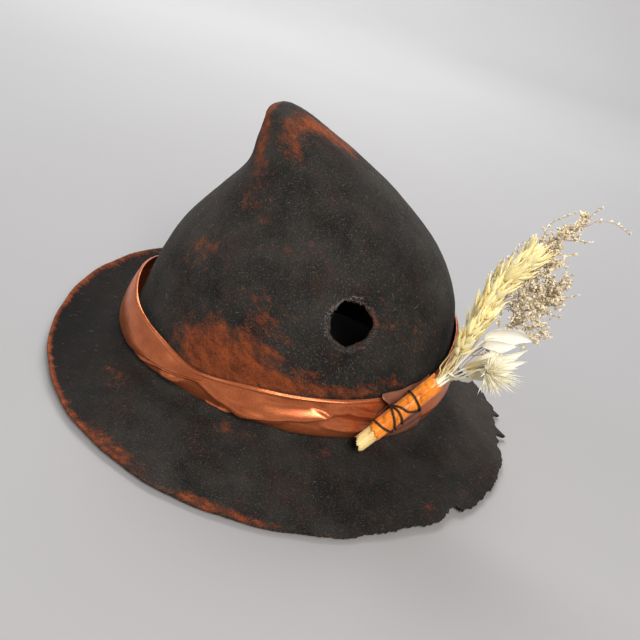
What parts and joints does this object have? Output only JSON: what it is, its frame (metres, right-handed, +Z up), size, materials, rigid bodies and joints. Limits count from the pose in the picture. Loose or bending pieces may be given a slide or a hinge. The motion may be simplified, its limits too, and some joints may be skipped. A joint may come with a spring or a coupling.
{
  "type": "witch hat",
  "caption": "Pointed wool-felt witch hat with a drooping torn brim, a holed crown, a draped satin band and a dried-flower bundle lashed at the right front.",
  "frame": {"origin": "centre of the head opening, in the plane where the crown turns out into the brim", "axes": "+X towards the wearer's front, +Y towards the wearer's left, +Z up through the crown"},
  "size_m": [0.3095, 0.2937, 0.1842],
  "materials": {
    "felt": "napped wool felt, charcoal with rust-brown burnt patches",
    "sweatband": "dark woven tape",
    "satin": "copper satin, soft sheen",
    "keeper": "brown satin, dull sheen",
    "husk": "dried husk, orange, matte",
    "inner_husk": "dried husk, pale yellow, matte",
    "cord": "twisted cord, near black",
    "straw": "dried straw, matte",
    "lavender": "dried flower sprays, matte",
    "bract": "papery dried bract, slight sheen"
  },
  "bodies": {
    "root": {"felt_body": "felt", "sweatband": "sweatband", "satin_band": "satin", "band_keeper": "keeper", "husk_wrap": "husk", "inner_husk": "inner_husk", "binding_thread": "cord", "wheat_ear_long": "straw", "wheat_ear_short": "straw", "sea_lavender_mid": "lavender", "sea_lavender_near": "lavender", "sea_lavender_far": "lavender", "white_bract": "bract", "yellow_bract_upper": "bract", "yellow_bract_lower": "bract", "slim_bract": "bract", "bristle_head": "straw"}
  },
  "joints": []
}
